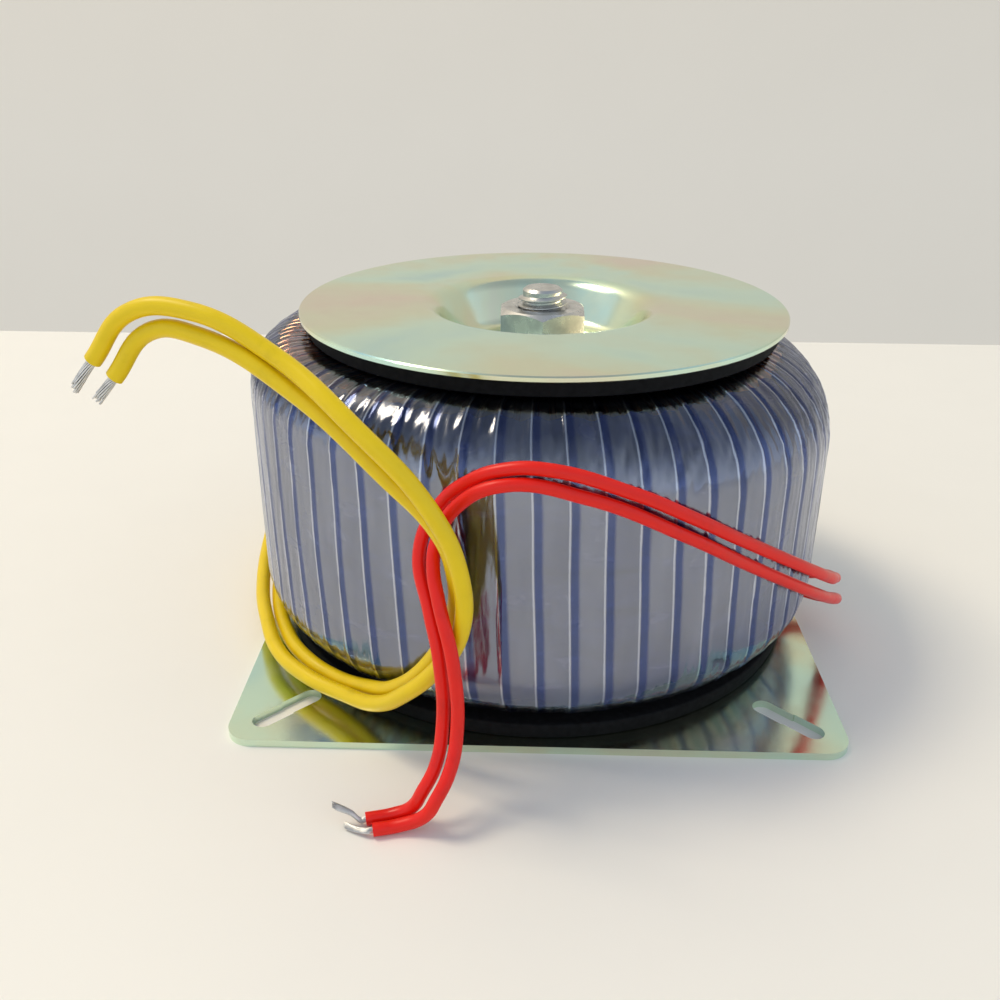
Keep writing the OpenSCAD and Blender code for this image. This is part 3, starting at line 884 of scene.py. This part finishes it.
class TRANSFORMER_OT_bolt(bpy.types.Operator):
    """Turn the threaded clamp bolt with its hexagon head"""

    bl_idname = "transformer.bolt"
    bl_label = "Clamp bolt"

    def execute(self, context):
        sizes = context.scene.transformer_sizes
        low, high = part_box("clamp_bolt")
        root = THREAD_CREST - 0.61 * sizes.thread_pitch
        chamfer = 0.9 * MM
        across = high.x
        deselect()
        bpy.ops.mesh.primitive_cylinder_add(
            vertices=6, radius=across, depth=HEAD_TOP - low.z,
            location=(0, 0, (HEAD_TOP + low.z) / 2), rotation=(0, 0, math.radians(30)))
        head = named("bolt")
        bpy.ops.object.transform_apply(location=True, rotation=True, scale=True)
        cone = lathe("head_turning", [
            (AXIS_GAP, low.z), (across - chamfer, low.z), (across, low.z + chamfer * 0.6),
            (across, HEAD_TOP), (AXIS_GAP, HEAD_TOP)], 96)
        cut = head.modifiers.new("chamfer", "BOOLEAN")
        cut.operation, cut.object = "INTERSECT", cone
        deselect()
        apply_modifiers(head)
        bpy.data.objects.remove(cone)
        shank = lathe("shank", [
            (AXIS_GAP, HEAD_TOP - 0.2 * MM), (root, HEAD_TOP - 0.2 * MM),
            (root, high.z - 0.5 * MM), (root - 0.6 * MM, high.z), (AXIS_GAP, high.z)], 64)
        pitch = sizes.thread_pitch
        deselect()
        bpy.ops.mesh.primitive_circle_add(vertices=4, fill_type="NOTHING")
        thread = named("thread")
        first = high.z - 13 * pitch
        place_vertices(thread, np.array([
            (root - 0.2 * MM, 0, first - 0.46 * pitch), (THREAD_CREST, 0, first - 0.06 * pitch),
            (THREAD_CREST, 0, first + 0.06 * pitch), (root - 0.2 * MM, 0, first + 0.46 * pitch)]))
        wind = thread.modifiers.new("wind", "SCREW")
        wind.axis, wind.steps, wind.render_steps = "Z", 48, 48
        wind.screw_offset, wind.iterations = pitch, 12
        wind.use_merge_vertices = True
        apply_modifiers(thread)
        deselect()
        for part in (thread, shank, head):
            part.select_set(True)
        bpy.context.view_layer.objects.active = head
        bpy.ops.object.join()
        smooth(head, 30)
        bright = finished("zinc", zinc, context.scene.transformer_colours)
        settle(head, bright, "zinc_steel", "clamp_bolt")
        return {"FINISHED"}


class TRANSFORMER_OT_nut(bpy.types.Operator):
    """Cut the hexagon nut, with one corner toward the front"""

    bl_idname = "transformer.nut"
    bl_label = "Clamp nut"

    def execute(self, context):
        low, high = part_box("clamp_nut")
        corner = max(high.x, high.y)
        middle, height = (low.z + high.z) / 2, high.z - low.z
        deselect()
        bpy.ops.mesh.primitive_cylinder_add(
            vertices=6, radius=corner, depth=height, location=(0, 0, middle))
        nut = named("nut")
        bpy.ops.object.transform_apply(location=True, rotation=True, scale=True)
        deselect()
        flat = corner * math.cos(math.radians(30))
        ends = 0.4 * MM
        fall = (corner - flat + ends) * math.tan(math.radians(30))
        turned = lathe("nut_turning", [
            (5.05 * MM, low.z), (flat - ends, low.z), (corner, low.z + fall),
            (corner, high.z - fall), (flat - ends, high.z), (5.7 * MM, high.z),
            (5.05 * MM, high.z - 0.6 * MM)], 96)
        cut = nut.modifiers.new("turning", "BOOLEAN")
        cut.operation, cut.object = "INTERSECT", turned
        deselect()
        apply_modifiers(nut)
        bpy.data.objects.remove(turned)
        smooth(nut, 20)
        bright = finished("zinc", zinc, context.scene.transformer_colours)
        settle(nut, bright, "zinc_steel", "clamp_nut")
        return {"FINISHED"}


class TRANSFORMER_OT_carried_over(bpy.types.Operator):
    """Give each CAD piece that stays in view its finish"""

    bl_idname = "transformer.carried_over"
    bl_label = "Winding, core and plate"

    def execute(self, context):
        colours = context.scene.transformer_colours
        copper = enamelled_copper(colours)
        tape = insulating_tape(colours)
        finishes = {
            "base_plate": finished("plate", passivated_steel, colours),
            "secondary_winding": copper,
            "primary_winding": copper,
            "winding_insulation": tape,
            "core_insulation": tape,
            "steel_core": core_steel(colours),
        }
        for name, material in finishes.items():
            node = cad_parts[name]
            node.data.materials.clear()
            node.data.materials.append(material)
        return {"FINISHED"}


class TRANSFORMER_OT_stage(bpy.types.Operator):
    """Set the pale table, the wall and the soft light"""

    bl_idname = "transformer.stage"
    bl_label = "Stage"

    def plane(self, name, size, place, turn, material):
        deselect()
        bpy.ops.mesh.primitive_plane_add(size=1, location=place, rotation=turn)
        surface = named(name)
        surface.scale = (*size, 1)
        bpy.ops.object.transform_apply(location=True, rotation=True, scale=True)
        surface.data.materials.append(material)

    def lamp(self, name, place, size, power, colour):
        data = bpy.data.lights.new(name, "AREA")
        data.size, data.energy, data.color = size, power, colour
        lamp = bpy.data.objects.new(name, data)
        bpy.context.collection.objects.link(lamp)
        lamp.location = place
        aim = Vector((0, 0, 0.03)) - Vector(place)
        lamp.rotation_euler = aim.to_track_quat("-Z", "Y").to_euler()

    def sky(self, scene):
        """Pale all round and darker overhead."""
        world = bpy.data.worlds.new("room")
        world.use_nodes = True
        scene.world = world
        tree = world.node_tree
        split = tree.nodes.new("ShaderNodeSeparateXYZ")
        ramp = tree.nodes.new("ShaderNodeValToRGB")
        place = tree.nodes.new("ShaderNodeTexCoord")
        tree.links.new(place.outputs["Generated"], split.inputs[0])
        tree.links.new(split.outputs["Z"], ramp.inputs["Fac"])
        stops = ramp.color_ramp.elements
        stops[0].position, stops[0].color = 0.0, (0.92, 1.0, 1.10, 1)
        stops[1].position, stops[1].color = 1.0, (0.31, 0.37, 0.45, 1)
        middle = stops.new(0.45)
        middle.color = (0.70, 0.79, 0.90, 1)
        background = tree.nodes["Background"]
        background.inputs["Strength"].default_value = SKY_STRENGTH
        tree.links.new(ramp.outputs["Color"], background.inputs["Color"])

    def execute(self, context):
        scene = context.scene
        colours = scene.transformer_colours
        table = painted("table", colours.floor, 0.45, 40.0)
        wall = painted("wall", colours.wall, 0.8, 12.0)
        table_back = 0.215
        table_depth = 1.6
        self.plane("table", (3.2, table_depth), (0, table_back - table_depth / 2, 0),
                   (0, 0, 0), table)
        self.plane("wall", (6.0, 3.0), (0, 0.9, 0.4), (math.pi / 2, 0, 0), wall)
        self.lamp("key", (-1.3, 0.28, 2.2), 0.8, KEY_POWER, (1.0, 0.87, 0.66))
        self.sky(scene)
        scene.view_settings.view_transform = "Standard"
        return {"FINISHED"}


class TRANSFORMER_PT_panel(bpy.types.Panel):
    """Lists the transformer's pieces, sizes and colours"""

    bl_idname = "TRANSFORMER_PT_panel"
    bl_label = "Toroidal transformer"
    bl_space_type = "VIEW_3D"
    bl_region_type = "UI"
    bl_category = "Transformer"

    def draw(self, context):
        layout = self.layout
        for operator in OPERATORS:
            layout.operator(operator.bl_idname)
        for group in (context.scene.transformer_sizes, context.scene.transformer_colours):
            box = layout.box()
            for name in group.__annotations__:
                box.prop(group, name)


OPERATORS = (
    TRANSFORMER_OT_camera,
    TRANSFORMER_OT_leads,
    TRANSFORMER_OT_film,
    TRANSFORMER_OT_band,
    TRANSFORMER_OT_clamp_washer,
    TRANSFORMER_OT_bolt,
    TRANSFORMER_OT_nut,
    TRANSFORMER_OT_carried_over,
    TRANSFORMER_OT_stage,
)
CLASSES = (TransformerSizes, TransformerColours, *OPERATORS, TRANSFORMER_PT_panel)


def register():
    for cls in CLASSES:
        bpy.utils.register_class(cls)
    bpy.types.Scene.transformer_sizes = PointerProperty(type=TransformerSizes)
    bpy.types.Scene.transformer_colours = PointerProperty(type=TransformerColours)


def unregister():
    del bpy.types.Scene.transformer_colours
    del bpy.types.Scene.transformer_sizes
    for cls in reversed(CLASSES):
        bpy.utils.unregister_class(cls)


def main():
    register()
    for operator in OPERATORS:
        group, name = operator.bl_idname.split(".")
        getattr(getattr(bpy.ops, group), name)()


if __name__ == "__main__":
    main()
